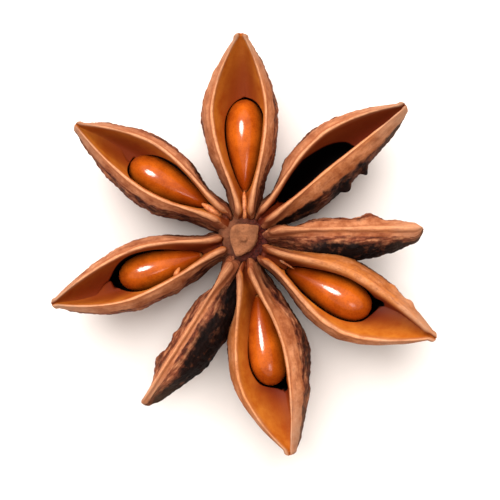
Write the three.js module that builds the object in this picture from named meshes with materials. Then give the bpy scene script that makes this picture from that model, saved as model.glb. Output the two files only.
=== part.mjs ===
// A dried star anise fruit, lying on its keels with the seams up.
// Eight boat-shaped carpels stand round a short woody column. Six have split open along the
// upper seam. Five of those still hold a polished seed and the sixth is empty, while the
// last two stayed thin and shut. Millimetres and degrees, +Z up. The origin is the middle of
// the column's foot, on the table. Carpels are numbered clockwise from +Y, seen from above.
import * as THREE from "three";

const CLEARANCE = 0.2; // between neighbouring solids
const SEAM_HEIGHT = 7.5; // the lips of an upright carpel, above the table
const SEAM_SAG = 0.25; // how far the seam dips half way out

// The column: the end of the stalk, which narrows to a neck under a flat five-sided disc.
const COLUMN = {
  discHeight: 7.62,
  discRadius: 1.36,
  discThickness: 0.75,
  neckRadius: 1.12,
  shoulderHeight: 5.8,
  shoulderRadius: 1.7,
  footRadius: 1.35,
  corners: 0.08, // how far the disc's five blunt corners stand out, as a share of its radius
};

// Sizes that all carpels share.
const WALL = 0.42; // least thickness of the side walls
const FLOOR = 0.8; // least thickness of the keel under the hollow
const KEEL_HALF_WIDTH = 0.55;
const RIDGE_HALF_WIDTH = 0.8; // from the slit to the crest of a lip, beside the column
const SLIT_HALF_WIDTH = 0.16;
const BEAK_HALF_WIDTH = 0.34;
const BEAK_DEPTH = 0.8;
const FACE_AT_COLUMN = COLUMN.shoulderRadius + 1.6 * CLEARANCE; // a carpel's inner face
const PIT_DEPTH = 5.6; // the hollow that fits the seed, below the lips
const WRINKLE = 0.15; // how far the dry skin stands out and in

// A seed: an egg with a narrow inner end, flattened from side to side.
const SEED = { length: 8.2, thickness: 3.25, height: 4.4, taper: 0.45, below: 3.0, room: 0.25 };

// One row for each carpel. base and tip are the ends of its seam, seen from above.
// left and right are how far its lips stand from the line base to tip where they are widest,
// and peak says how far out that is. roll turns the keel to the left, bulge is how far the
// sides swell out past the lips, depth is from the lips to the keel, and rise lifts the tip.
// Of a seed, at is its place along the seam, aside its distance to the left, turn its heading
// from the seam's, and length its own length.
const CARPELS = [
  { base: [0.05, 2.15], tip: [-0.3, 17.85], left: 2.8, right: 2.2, peak: [0.57, 0.58], roll: -2,
    bulge: [0.95, 0.95], depth: 7.9, rise: 0.7, seed: { at: 0.38, aside: -0.07, turn: -1, length: 8.2 } },
  { base: [1.6, 1.95], tip: [13.95, 11.7], left: 2.55, right: 0.5, peak: [0.54, 0.5], roll: -13,
    bulge: [1.45, 1.3], depth: 7.9, rise: 0.8 },
  { base: [2.1, 0.8], tip: [15.5, 1.0], left: 0.45, right: 0.42, peak: [0.5, 0.5], roll: -20,
    bulge: [1.4, 1.4], depth: 6.6, rise: 0.2, shut: true },
  { base: [1.9, -1.35], tip: [16.65, -8.65], left: 2.2, right: 3.3, peak: [0.45, 0.53], roll: 3,
    bulge: [0.85, 0.75], depth: 7.9, rise: 0.4, seed: { at: 0.38, aside: -0.3, turn: 0, length: 8.3 } },
  { base: [0.0, -2.7], tip: [3.95, -18.75], left: 1.95, right: 2.9, peak: [0.46, 0.57], roll: 12,
    bulge: [1.5, 1.1], depth: 7.9, rise: 0.5, seed: { at: 0.385, aside: -0.25, turn: -5, length: 8.1 } },
  { base: [-1.1, -2.0], tip: [-8.9, -14.25], left: 0.42, right: 0.45, peak: [0.5, 0.5], roll: 25,
    bulge: [1.35, 1.4], depth: 6.9, rise: -0.2, shut: true },
  { base: [-1.75, -0.33], tip: [-16.7, -5.65], left: 2.05, right: 2.22, peak: [0.59, 0.49], roll: 5,
    bulge: [0.85, 0.85], depth: 7.8, rise: 0.5, seed: { at: 0.37, aside: -0.16, turn: -4, length: 7.7 } },
  { base: [-1.9, 2.0], tip: [-14.6, 9.97], left: 1.9, right: 2.32, peak: [0.48, 0.55], roll: 5,
    bulge: [1.0, 0.95], depth: 7.8, rise: 0.6, seed: { at: 0.355, aside: 0.05, turn: 3, length: 7.7 } },
];

// Where each carpel meets the next one clockwise: the direction of the upright plane between
// them, and how far that plane leans over towards the second of the two.
const PARTINGS = [
  { heading: 64, lean: 0 },
  { heading: 21, lean: 0 },
  { heading: -8, lean: -12 },
  { heading: -57, lean: 0 },
  { heading: -103, lean: 14 },
  { heading: -137, lean: 0 },
  { heading: -190, lean: 0 },
  { heading: -243, lean: 0 },
];

// Fineness of the meshes.
const STATIONS = 24;
const WALL_STEPS = 7;
const HOLLOW_STEPS = 5;
const SEED_RINGS = 11;
const SEED_SIDES = 14;
const COLUMN_SIDES = 25;

const radians = THREE.MathUtils.degToRad;
const mix = THREE.MathUtils.lerp;
const ramp = THREE.MathUtils.smoothstep; // (x, from, to)

const skin = new THREE.MeshStandardMaterial({ color: 0x8a5a3f, roughness: 0.85, metalness: 0 });
const cork = new THREE.MeshStandardMaterial({ color: 0xb98660, roughness: 0.9, metalness: 0 });
const seedCoat = new THREE.MeshStandardMaterial({ color: 0xc0601c, roughness: 0.2, metalness: 0 });

// A cubic curve through four control points [u, v].
function bezier(points, q) {
  const p = 1 - q;
  const weights = [p ** 3, 3 * p * p * q, 3 * p * q * q, q ** 3];
  return [0, 1].map((axis) => weights.reduce((sum, weight, i) => sum + weight * points[i][axis], 0));
}

// A lip's distance from the seam line: it leaves the ridge by the column slowly, is widest at
// peak, and closes on the beak.
function lipOffset(s, widest, peak) {
  if (s < peak) {
    return mix(RIDGE_HALF_WIDTH, widest, Math.sin((Math.PI / 2) * (s / peak)) ** 1.6);
  }
  return mix(widest, BEAK_HALF_WIDTH, ((s - peak) / (1 - peak)) ** 1.75);
}

// Depth of the keel below the lips.
function keelDepth(carpel, s) {
  const deepest = 0.42;
  if (s < deepest) {
    return mix(carpel.depth - 1.2, carpel.depth, Math.sin((Math.PI / 2) * (s / deepest)));
  }
  const out = (s - deepest) / (1 - deepest);
  return mix(BEAK_DEPTH, carpel.depth, Math.max(0, 1 - out ** 2) ** 0.9);
}

// Depth of the hollow below the lips: a slit by the column, then the pit that fits the seed,
// and a shallow valley from there to the beak.
function hollowDepth(carpel, s) {
  if (carpel.shut) {
    return 0.3 + 0.7 * Math.sin(Math.PI * s);
  }
  const valley = mix(0.5, 2.7, ramp(s, 0, 0.2)) * (1 - ramp(s, 0.72, 0.99)) + 0.12;
  return mix(valley, PIT_DEPTH, pitShare(s));
}

// 1 where the hollow is the seed's pit, 0 where it isn't.
function pitShare(s) {
  return ramp(s, 0.03, 0.17) * (1 - ramp(s, 0.64, 0.77));
}

// Half the thickness of a seed at x, from -1 at its inner end to 1 at its outer end.
function seedShape(x) {
  const peakValue = 1.085;
  return (Math.sqrt(Math.max(0, 1 - x * x)) * (1 + SEED.taper * x)) / peakValue;
}

// How far the dry skin stands out or in, along the wall from lip (q = 0) to keel (q = 1).
function wrinkle(number, s, q) {
  const fade = Math.sin(Math.PI * Math.min(1, q * 1.15 + 0.05)) * Math.min(1, 8 * s, 5 * (1 - s));
  const along = Math.sin(34 * s + 5 * q + 1.9 * number) + 0.7 * Math.sin(55 * s - 9 * q + number);
  const across = 0.8 * Math.sin(17 * q + 11 * s + 2.3 * number);
  return WRINKLE * fade * (along + across) * 0.6;
}

// The closed outline of one cut across a carpel, as { u, v, inner } with u to the left and v
// down from the lips, starting at the right lip and running round the keel.
function section(carpel, number, s) {
  const left = lipOffset(s, carpel.left, carpel.peak[0]);
  const right = lipOffset(s, carpel.right, carpel.peak[1]);
  const halfGape = (left + right) / 2;
  const middle = (left - right) / 2;
  const depth = keelDepth(carpel, s);
  const hollow = Math.max(0.1, Math.min(hollowDepth(carpel, s), depth - FLOOR));
  const brow = mix(RIDGE_HALF_WIDTH - SLIT_HALF_WIDTH, mix(0.42, 0.22, ramp(s, 0.5, 1)), ramp(s, 0.02, 0.3));
  const mouth = carpel.shut ? 0.14 : Math.max(SLIT_HALF_WIDTH, halfGape - brow);
  const swell = Math.sin(Math.PI * mix(0.25, 0.985, s)) ** 0.8;
  const browDrop = mix(0.3, 0.15, ramp(s, 0, 0.4));
  const keel = Math.min(KEEL_HALF_WIDTH, 0.5 * halfGape + 0.15);

  const pit = carpel.shut ? 0 : pitShare(s);
  const seed = carpel.seed ?? { at: 0.38, aside: middle, length: SEED.length };
  const along = (s - seed.at) * seamLength(carpel);
  const seedHalf = (seed.length / SEED.length) * (SEED.thickness / 2) * seedShape((2 * along) / seed.length);
  const seedMiddle = seed.aside + along * Math.tan(radians(seed.turn ?? 0)) - middle;
  const pitHalf = Math.max(0.75 * mouth, seedHalf + SEED.room);

  const outerWall = (side, q) => {
    const bulge = carpel.bulge[side > 0 ? 0 : 1] * swell;
    const [u, v] = bezier([
      [halfGape, 0],
      [halfGape + 1.3 * bulge, 0.1 * depth],
      [1.2 * (halfGape + bulge), 0.72 * depth],
      [keel, depth],
    ], q);
    const stand = wrinkle(number + (side > 0 ? 0 : 4), s, q);
    return { u: side * (u + stand), v: v + stand * Math.max(0, q - 0.5), inner: false };
  };
  const hollowWall = (side, q) => {
    const shift = pit * seedMiddle * side;
    const [u, v] = bezier([
      [mouth, browDrop],
      [mix(0.7 * mouth, pitHalf * 1.1 + shift, pit), mix(0.35, 0.3, pit) * hollow],
      [mix(0.35 * mouth, pitHalf * 1.22 + shift, pit), mix(0.85, 1.02, pit) * hollow],
      [shift, hollow],
    ], q);
    return { u: side * u, v: Math.max(v, browDrop), inner: true };
  };

  const steps = (count) => Array.from({ length: count }, (_, i) => i / count);
  const outline = [
    ...steps(WALL_STEPS).map((q) => outerWall(-1, q)),
    { u: -0.8 * keel, v: depth, inner: false },
    { u: 0.8 * keel, v: depth, inner: false },
    ...steps(WALL_STEPS).reverse().map((q) => outerWall(1, q)),
    ...steps(HOLLOW_STEPS).map((q) => hollowWall(1, q)),
    hollowWall(1, 1),
    ...steps(HOLLOW_STEPS).reverse().map((q) => hollowWall(-1, q)),
  ];
  return { outline, middle };
}

function seamLength({ base, tip }) {
  return Math.hypot(tip[0] - base[0], tip[1] - base[1]);
}

// A carpel's own frame at s: a point of the seam, the directions along and aside, and the roll.
function carpelFrame(carpel, s) {
  const base = new THREE.Vector2(...carpel.base);
  const tip = new THREE.Vector2(...carpel.tip);
  const along = tip.clone().sub(base).normalize();
  const onPlan = base.clone().lerp(tip, s);
  const height = SEAM_HEIGHT + carpel.rise * s ** 3 - SEAM_SAG * Math.sin(Math.PI * s);
  return {
    seam: new THREE.Vector3(onPlan.x, onPlan.y, height),
    along: new THREE.Vector3(along.x, along.y, 0),
    aside: new THREE.Vector3(-along.y, along.x, 0),
    roll: radians(carpel.roll) * ramp(s, -0.1, 0.2),
  };
}

// The point (u, v) of a section whose middle is a given distance to the left of the seam.
function place({ seam, aside, roll }, middle, u, v) {
  const point = seam.clone().addScaledVector(aside, middle + u * Math.cos(roll) + v * Math.sin(roll));
  point.z += u * Math.sin(roll) - v * Math.cos(roll);
  return point;
}

// Keeps a point of a carpel on its own side of the planes to its two neighbours.
function keepBetween(point, number, margin) {
  const before = PARTINGS[(number + PARTINGS.length - 1) % PARTINGS.length];
  for (const [{ heading, lean }, side] of [[PARTINGS[number], 1], [before, -1]]) {
    const out = new THREE.Vector3(Math.cos(radians(heading)), Math.sin(radians(heading)), 0);
    const normal = new THREE.Vector3(-out.y, out.x, 0).multiplyScalar(Math.cos(radians(lean)));
    normal.z = Math.sin(radians(lean));
    normal.multiplyScalar(side);
    const beyond = point.clone().setZ(point.z - SEAM_HEIGHT).dot(normal);
    if (point.dot(out) > 0 && beyond < margin) {
      point.addScaledVector(normal, margin - beyond);
    }
  }
  return point;
}

function carpelGeometry(carpel, number) {
  const rows = [];
  for (let i = 0; i <= STATIONS; i++) {
    const s = i / STATIONS;
    const frame = carpelFrame(carpel, s);
    const { outline, middle } = section(carpel, number, s);
    const nose = i === STATIONS ? 0.6 : 1;
    rows.push(outline.map(({ u, v, inner }) => {
      const point = place(frame, middle, u * nose, mix(0.35, v, nose));
      // Below the lips the carpel reaches in to the column.
      const reach = (Math.hypot(...carpel.base) - FACE_AT_COLUMN) * ramp(v, 0.1, 1) * (1 - ramp(s, 0, 0.12));
      point.addScaledVector(frame.along, -reach);
      keepBetween(point, number, CLEARANCE / 2 + (inner ? WALL : 0));
      point.z = Math.max(point.z, 0);
      return point;
    }));
  }
  return loft(rows);
}

// A closed solid through rows of points that run round it counterclockwise, seen from the last.
function loft(rows) {
  const around = rows[0].length;
  const indices = [];
  for (let i = 0; i + 1 < rows.length; i++) {
    for (let j = 0; j < around; j++) {
      const a = i * around + j;
      const b = i * around + ((j + 1) % around);
      indices.push(a, b, b + around, a, b + around, a + around);
    }
  }
  // Each end is closed by a strip that runs across it.
  const last = (rows.length - 1) * around;
  for (let low = 0, high = around - 1; high - low > 1; low++, high--) {
    indices.push(low, high, low + 1, last + low, last + low + 1, last + high);
    if (high - low > 2) {
      indices.push(low + 1, high, high - 1, last + low + 1, last + high - 1, last + high);
    }
  }
  const geometry = new THREE.BufferGeometry().setFromPoints(rows.flat());
  geometry.setIndex(indices);
  geometry.computeVertexNormals();
  return geometry;
}

// A seed along +X, with its outer end at +X.
function seedGeometry() {
  const rows = [];
  for (let i = 0; i <= SEED_RINGS; i++) {
    const x = -Math.cos((Math.PI * (i + 0.35)) / (SEED_RINGS + 0.7));
    const plump = seedShape(x);
    rows.push(Array.from({ length: SEED_SIDES }, (_, j) => {
      const angle = (2 * Math.PI * j) / SEED_SIDES;
      const y = (SEED.thickness / 2) * plump * Math.cos(angle);
      const z = (SEED.height / 2) * plump * Math.sin(angle);
      return new THREE.Vector3((SEED.length / 2) * x, y, z);
    }));
  }
  return loft(rows);
}

// Puts a seed into its carpel, leaning as the carpel does.
function seedMesh(carpel, number) {
  const { at, aside, turn, length } = carpel.seed;
  const frame = carpelFrame(carpel, at);
  const up = new THREE.Vector3(0, 0, Math.cos(frame.roll)).addScaledVector(frame.aside, -Math.sin(frame.roll));
  const across = new THREE.Vector3().crossVectors(up, frame.along);
  const mesh = new THREE.Mesh(seedGeometry(), seedCoat);
  mesh.name = `seed_${number + 1}`;
  mesh.position.copy(place(frame, aside, 0, SEED.below));
  mesh.quaternion.setFromRotationMatrix(new THREE.Matrix4().makeBasis(frame.along, across, up));
  mesh.rotateZ(radians(turn));
  mesh.scale.setScalar(length / SEED.length);
  return mesh;
}

// The column from its foot to the disc on top, whose middle is a little hollow.
function columnGeometry() {
  const { discHeight, discRadius, neckRadius, shoulderHeight, shoulderRadius, footRadius, corners } = COLUMN;
  const neckTop = discHeight - COLUMN.discThickness;
  const levels = [
    [0, footRadius, 0],
    [1, 0.92 * shoulderRadius, 0],
    [2.4, shoulderRadius, 0],
    [shoulderHeight - 0.5, shoulderRadius, 0],
    [shoulderHeight, mix(neckRadius, shoulderRadius, 0.6), 0],
    [shoulderHeight + 0.3, neckRadius, 0],
    [neckTop, neckRadius, corners / 2],
    [discHeight - 0.3, discRadius, corners],
    [discHeight - 0.05, 0.94 * discRadius, corners],
    [discHeight, 0.7 * discRadius, corners],
    [discHeight - 0.1, 0.3 * discRadius, 0],
  ];
  return loft(levels.map(([z, radius, share]) => Array.from({ length: COLUMN_SIDES }, (_, j) => {
    const angle = (2 * Math.PI * j) / COLUMN_SIDES;
    const r = radius * (1 + share * Math.cos(5 * angle - 2.2));
    return new THREE.Vector3(r * Math.cos(angle), r * Math.sin(angle), z);
  })));
}

const fruit = new THREE.Group();
const column = new THREE.Mesh(columnGeometry(), cork);
column.name = "column";
fruit.add(column);
CARPELS.forEach((carpel, number) => {
  const mesh = new THREE.Mesh(carpelGeometry(carpel, number), skin);
  mesh.name = `carpel_${number + 1}`;
  fruit.add(mesh);
  if (carpel.seed) {
    fruit.add(seedMesh(carpel, number));
  }
});

export default fruit;
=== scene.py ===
"""Dresses a dried star anise fruit: eight wrinkled carpels, five polished seeds and a cork column.

The classes hold sizes in millimetres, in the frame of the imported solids, and meshes are made in
metres. Carpels are numbered clockwise from +Y, seen from above. Within a carpel s runs from 0 at
the column to 1 at the beak, u to the left of the seam and v down from the lips. The first of a
pair of sizes is for a carpel's left half, which lies counter-clockwise of its seam.
"""

import logging
import math
from collections.abc import Callable, Sequence
from dataclasses import dataclass
from enum import Enum

import bpy
import numpy as np
from mathutils import Matrix, Vector


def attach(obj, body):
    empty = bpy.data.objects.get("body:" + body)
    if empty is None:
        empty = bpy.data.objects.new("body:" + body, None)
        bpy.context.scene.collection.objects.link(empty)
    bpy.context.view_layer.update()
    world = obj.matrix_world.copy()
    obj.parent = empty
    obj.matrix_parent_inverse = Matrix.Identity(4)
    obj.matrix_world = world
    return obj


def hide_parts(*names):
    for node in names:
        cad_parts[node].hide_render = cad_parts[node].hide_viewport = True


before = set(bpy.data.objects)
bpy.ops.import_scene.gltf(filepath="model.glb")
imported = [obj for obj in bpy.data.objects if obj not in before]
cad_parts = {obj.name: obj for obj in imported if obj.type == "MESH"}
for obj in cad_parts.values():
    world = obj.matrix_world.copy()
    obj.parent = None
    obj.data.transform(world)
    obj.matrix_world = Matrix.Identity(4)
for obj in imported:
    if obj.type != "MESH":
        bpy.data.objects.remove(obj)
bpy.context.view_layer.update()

MM = 0.001  # metres in a millimetre
BODY = "root"
GRAIN = "grain"  # the map that runs along a carpel
SEAM_HEIGHT = 7.5  # the lips of an upright carpel, above the table
SEAM_SAG = 0.25  # how far the seam dips half way out
WEIGHT_STEPS = 20  # in a vertex group

Number = float | np.ndarray
Feed = bpy.types.NodeSocket | bpy.types.Node | Sequence[float] | float | str

log = logging.getLogger("star_anise")


def mix(low: Number, high: Number, share: Number) -> Number:
    """Returns the value that lies a given share of the way from low to high."""
    return low + (high - low) * share


def ramp(value: Number, low: Number, high: Number) -> Number:
    """Returns 0 below low and 1 above high, with a smooth rise between them."""
    share = np.clip((value - low) / (high - low), 0.0, 1.0)
    return share * share * (3.0 - 2.0 * share)


def bezier(points: Sequence[tuple[Number, Number]], q: Number) -> tuple[Number, Number]:
    """Follows a cubic curve.

    Args:
        points: Four control points (u, v).
        q: Where on the curve, from 0 to 1.

    Returns:
        The u and v of the points at q.
    """
    p = 1.0 - q
    weights = (p**3, 3 * p * p * q, 3 * p * q * q, q**3)
    return tuple(sum(weight * point[axis] for weight, point in zip(weights, points))
                 for axis in (0, 1))


def linear(hex_colour: str) -> tuple[float, float, float, float]:
    """Turns an sRGB hex colour into linear RGBA.

    Args:
        hex_colour: Six hex digits, such as "c8641a".

    Returns:
        Linear red, green and blue with an alpha of 1.
    """
    parts = [int(hex_colour[i : i + 2], 16) / 255 for i in (0, 2, 4)]
    return (*[c / 12.92 if c <= 0.04045 else ((c + 0.055) / 1.055) ** 2.4 for c in parts], 1.0)


def add(tree: bpy.types.NodeTree, kind: str, inputs: dict[str | int, Feed] | None = None,
        **settings: object) -> bpy.types.Node:
    """Adds a shader node.

    Args:
        tree: The material's node tree.
        kind: The node's type, without the leading "ShaderNode".
        inputs: What feeds each input socket: a value, a hex colour, an output socket, or a node
            whose first output it is.
        settings: Other attributes of the node.

    Returns:
        The new node.
    """
    node = tree.nodes.new(f"ShaderNode{kind}")
    for name, value in settings.items():
        setattr(node, name, value)
    for name, feed in (inputs or {}).items():
        if isinstance(feed, bpy.types.Node):
            feed = feed.outputs[0]
        if isinstance(feed, bpy.types.NodeSocket):
            tree.links.new(feed, node.inputs[name])
        else:
            node.inputs[name].default_value = linear(feed) if isinstance(feed, str) else feed
    return node


# ----------------------------------------------------------------------------
# Finishes


@dataclass(frozen=True)
class Pattern:
    """A cloudy pattern with values of about 0.3 to 0.7.

    size is that of a blotch in millimetres, detail the number of finer octaves and rough their
    weight. A squeeze below 1 draws the blotches out along the carpel.
    """

    size: float
    detail: float = 3.0
    rough: float = 0.55
    squeeze: float | None = None

    def draw(self, tree: bpy.types.NodeTree) -> bpy.types.Node:
        """Adds the pattern.

        Args:
            tree: The material's node tree.

        Returns:
            The node whose first output is the pattern.
        """
        where = add(tree, "TexCoord").outputs["Object"]
        if self.squeeze:
            where = add(tree, "Mapping", {"Vector": add(tree, "UVMap", uv_map=GRAIN),
                                          "Scale": (self.squeeze, 1.0, 1.0)})
        return add(tree, "TexNoise", {"Vector": where, "Scale": 1.0 / (self.size * MM),
                                      "Detail": self.detail, "Roughness": self.rough})


@dataclass(frozen=True)
class Reach:
    """How far from the column a place lies along the grain map, in metres."""

    def draw(self, tree: bpy.types.NodeTree) -> bpy.types.Node:
        """Returns the node whose first output is the reach."""
        return add(tree, "SeparateXYZ", {"Vector": add(tree, "UVMap", uv_map=GRAIN)})


class Join(Enum):
    """How one share is put to another."""

    ADDED = "ADD"
    TIMES = "MULTIPLY"


@dataclass(frozen=True)
class Share:
    """A share that is start where its source is low and end where it is high.

    Where onto names another share, this one makes that one uneven.
    """

    source: str
    low: float
    high: float
    start: float = 0.0
    end: float = 1.0
    onto: str = ""
    join: Join = Join.ADDED

    def draw(self, tree: bpy.types.NodeTree, made: dict[str, Feed]) -> bpy.types.Node:
        """Adds the share.

        Args:
            tree: The material's node tree.
            made: What has been made so far, by name.

        Returns:
            The node whose first output is the share.
        """
        share = add(tree, "MapRange", {
            "Value": made[self.source], "From Min": self.low, "From Max": self.high,
            "To Min": self.start, "To Max": self.end})
        if self.onto:
            share = add(tree, "Math", {0: made[self.onto], 1: share},
                        operation=self.join.value, use_clamp=True)
        return share


class Finish:
    """What every finish of the fruit shares: a principled shader made from a finish's own data.

    zones are the numbers stored on the piece. patterns, shares and coats are made of them in turn,
    by name. Each of the coats is a colour and what is laid over it: every time a colour, its share
    and, where that has to be spread first, the rest of a Share. relief is what stands out, how far
    in millimetres, and its strength.
    """

    name: str
    zones: tuple[str, ...] = ()
    patterns: dict[str, Pattern | Reach] = {}
    shares: dict[str, Share] = {}
    coats: dict[str, tuple] = {}
    relief: tuple[str, float, float | str] | None = None
    gloss: dict[str, float | str] = {}

    def material(self) -> bpy.types.Material:
        """Makes the material.

        Returns:
            The finished material.
        """
        material = bpy.data.materials.new(self.name)
        material.use_nodes = True
        tree = material.node_tree
        tree.nodes.clear()
        made = {name: add(tree, "Attribute", attribute_name=name).outputs["Fac"]
                for name in self.zones}
        made |= {name: pattern.draw(tree) for name, pattern in self.patterns.items()}
        for name, share in self.shares.items():
            made[name] = share.draw(tree, made)
        for name, (under, *coats) in self.coats.items():
            made[name] = made.get(under, under)
            for coat, source, *ends in coats:
                share = Share(source, *ends).draw(tree, made) if ends else made[source]
                inputs = {0: share, 6: made[name], 7: made.get(coat, coat)}
                made[name] = add(tree, "Mix", inputs, data_type="RGBA").outputs[2]
        inputs = {socket: made.get(value, value) for socket, value in self.gloss.items()}
        inputs["Base Color"] = made["colour"]
        if self.relief:
            source, height, strength = self.relief
            inputs["Normal"] = add(tree, "Bump", {
                "Height": made[source], "Distance": height * MM,
                "Strength": made.get(strength, strength)})
        add(tree, "OutputMaterial", {"Surface": add(tree, "BsdfPrincipled", inputs)})
        return material


class PericarpFinish(Finish):
    """Dried pericarp: matt wrinkled skin outside, pale planed lips, satin lining inside.

    The skin is mauve brown with tan ridges. Painted shade makes it near black in its creases, and
    on a flank that faces away from the light or lies in a neighbour's shadow, over its own dark
    brown. The lips, where the woody wall split, are pale tan with a fine grain along the carpel,
    palest along their crest, with a painted highlight there. The lining is smooth ochre, with faint
    streaks along the carpel; painted shade makes it red-brown on walls that face away from the
    light and round a pocket, and red-brown to black where it goes deep. The tips are bleached.
    """

    name = "Dried pericarp, split and wrinkled"
    dark, brown, tan = "2c0e08", "723822", "b47650"
    mauve, pale_mauve = "783c24", "c2825c"
    ochre = "b86a2c"
    bleach = "9a7860"
    zones = ("skin", "lip", "crest", "lining", "depth", "warmth", "shade_and_dark_skin", "lining_shade", "crease")
    patterns = {
        # Real fibres and grit are finer. These are as coarse as they need to be to show.
        "fibres": Pattern(0.22, 4.0, 0.6, squeeze=0.1),  # ten times as long as wide
        "wrinkles": Pattern(0.55, 4.0, 0.7, squeeze=0.3),
        "blotches": Pattern(1.6, 4.0, 0.65),
        "grit": Pattern(0.25, 3.0, 0.7),
        "reach": Reach(),
    }
    shares = {
        "tones": Share("blotches", 0.32, 0.68),
        "lengthwise": Share("wrinkles", 0.33, 0.67),
        "specks": Share("grit", 0.5, 0.75, 0.0, 0.5),
        "near_column": Share("reach", 0.0015, 0.006, 1.0, 0.0),
        "near_tip": Share("reach", 0.0105, 0.015),
        "warm": Share("blotches", 0.42, 0.66, 1.0, 0.45, "warmth", Join.TIMES),
        "blotched_shade_and_dark_skin": Share("blotches", 0.35, 0.65, -0.38, 0.3, "shade_and_dark_skin"),
        # A lip's crest is its own pale cut edge with a painted highlight along its top.
        "pale": Share("fibres", 0.3, 0.7, -0.25, 0.25, "crest"),
        "bleached": Share("blotches", 0.3, 0.6, 0.2, 0.7, "near_tip", Join.TIMES),
        "ragged": Share("blotches", 0.3, 0.7, -0.45, 0.45, "skin"),
        "strength": Share("skin", 0.0, 1.0, 0.15, 0.7),
        "roughness": Share("lining", 0.0, 1.0, 0.75, 0.65),
    }
    coats = {
        # The skin is grained along the carpel and blotched. Painted shade, over its own dark brown,
        # makes it near black on some flanks and black in creases.
        "shaded_black_skin": ("050201", ("1c0a06", "lengthwise")),
        "dry_skin": (dark, (brown, "lengthwise", 0.0, 0.45), (tan, "lengthwise", 0.45, 1.0),
                     (dark, "blotches", 0.45, 0.7, 0.0, 0.6), (brown, "specks"),
                     ("shaded_black_skin", "blotched_shade_and_dark_skin", 0.12, 0.9), ("0d0403", "crease", 0.0, -0.6, 0.0, 0.9),
                     ("5e4636", "bleached")),
        # The smooth wall below a lip is mauve, and orange where it is warm.
        "orange": ("8a4618", (ochre, "tones")),
        "planed_wall": (mauve, (pale_mauve, "tones"), ("orange", "warm"),
                        (brown, "wrinkles", 0.5, 0.7, 0.0, 0.6), (brown, "specks"),
                        (bleach, "bleached")),
        # A lip is palest along its crest, its own pale cut edge with a painted highlight along the
        # top, and browner beside the column.
        "ridge": ("6a3218", ("b87c54", "pale")),
        "split_lip": ("965636", ("d4966e", "pale"), (ochre, "warm", 0.0, 1.0, 0.0, 0.8),
                      ("ridge", "near_column"), (mauve, "wrinkles", 0.47, 0.7, 0.0, 0.7),
                      (mauve, "specks"), (bleach, "bleached")),
        # Painted shade turns the lining from ochre over red-brown to black as it goes deep, and
        # red-brown on walls that face away from the light and round a pocket.
        "deep": ("300a02", ("060101", "depth", 0.6, 1.0)),
        "inner_lining": ("a04a0c", ("c07024", "tones"), ("82340c", "depth", 0.0, 0.45),
                         ("641c06", "lining_shade"), ("deep", "depth", 0.45, 0.7)),
        # The smooth wall turns to skin along a ragged line.
        "colour": ("planed_wall", ("dry_skin", "ragged", 0.3, 0.7), ("inner_lining", "lining"),
                   ("split_lip", "lip")),
        "height": ("fibres", ("grit", "skin")),
    }
    relief = ("height", 0.06, "strength")
    gloss = {"Roughness": "roughness", "IOR": 1.48, "Specular IOR Level": 0.06}


class SeedCoatFinish(Finish):
    """Polished seed coat: a hard, lacquer-like orange brown skin with crisp reflections.

    It is mottled, redder to the narrow end and pale at the scar, and painted shade darkens its
    lower side.
    """

    name = "Seed coat, naturally polished"
    amber, edge = "c05a12", "6a2404"
    zones = ("inner", "rim", "scar")
    # A real seed coat has a finer grain. This one is as coarse as it needs to be to show.
    patterns = {"mottle": Pattern(1.4, 2.0), "grain": Pattern(0.16, 2.0, 0.7)}
    # The rim zone is painted shade: the edge colour darkens the seed's lower side.
    coats = {"colour": ("983e08", (amber, "mottle", 0.3, 0.7),
                        (amber, "grain", 0.45, 0.75, 0.0, 0.3),
                        (edge, "grain", 0.5, 0.3, 0.0, 0.3),
                        ("8a2a04", "inner"), (edge, "rim"), ("b8743c", "scar"))}
    relief = ("grain", 0.01, 0.04)
    gloss = {"Roughness": 0.17, "IOR": 1.52, "Specular IOR Level": 0.24}


class CorkFinish(Finish):
    """Stalk scar cork: dull, close-grained and tan with brown pores; its neck is painted red-brown
    shade.
    """

    name = "Stalk scar cork"
    zones = ("below",)
    # Real pores are finer. These are as coarse as they need to be to show.
    patterns = {"clouds": Pattern(0.8), "pores": Pattern(0.16, 2.0, 0.7)}
    coats = {
        # Painted shade: the neck under the disc is dark red-brown.
        "neck_shade": ("280401", ("4c1408", "pores", 0.35, 0.65)),
        "colour": ("6b3e24", ("8c5636", "clouds", 0.35, 0.65),
                   ("582410", "pores", 0.55, 0.75, 0.0, 0.6), ("neck_shade", "below")),
    }
    relief = ("pores", 0.05, 0.6)
    gloss = {"Roughness": 0.85, "IOR": 1.45, "Specular IOR Level": 0.12}


class TieFinish(Finish):
    """Seed stalk: a dry, orange sliver of soft tissue with a dull grain."""

    name = "Seed stalk, dried"
    patterns = {"grain": Pattern(0.3, 3.0, 0.6)}
    coats = {"colour": ("9c4814", ("cc7c44", "grain", 0.35, 0.65))}
    relief = ("grain", 0.03, 0.4)
    gloss = {"Roughness": 0.6, "IOR": 1.45, "Specular IOR Level": 0.3}


class PaperFinish(Finish):
    """Matt white paper: an even, almost shadowless ground with a trace of tooth."""

    name = "Matt white paper"
    # Real tooth is finer. This one is as coarse as it needs to be to show.
    patterns = {"tooth": Pattern(2.0, 2.0)}
    coats = {"colour": ("efe5de", ("f3e9e2", "tooth"))}
    gloss = {"Roughness": 0.9, "Specular IOR Level": 0.1}


# ----------------------------------------------------------------------------
# Modelling helpers


def pick(piece: bpy.types.Object | None) -> None:
    """Leaves edit mode and selects one piece, or nothing.

    Args:
        piece: The piece, which also becomes the active one, or None.
    """
    if bpy.context.object and bpy.context.object.mode != "OBJECT":
        bpy.ops.object.mode_set(mode="OBJECT")
    bpy.ops.object.select_all(action="DESELECT")
    if piece:
        piece.select_set(True)
        bpy.context.view_layer.objects.active = piece


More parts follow.
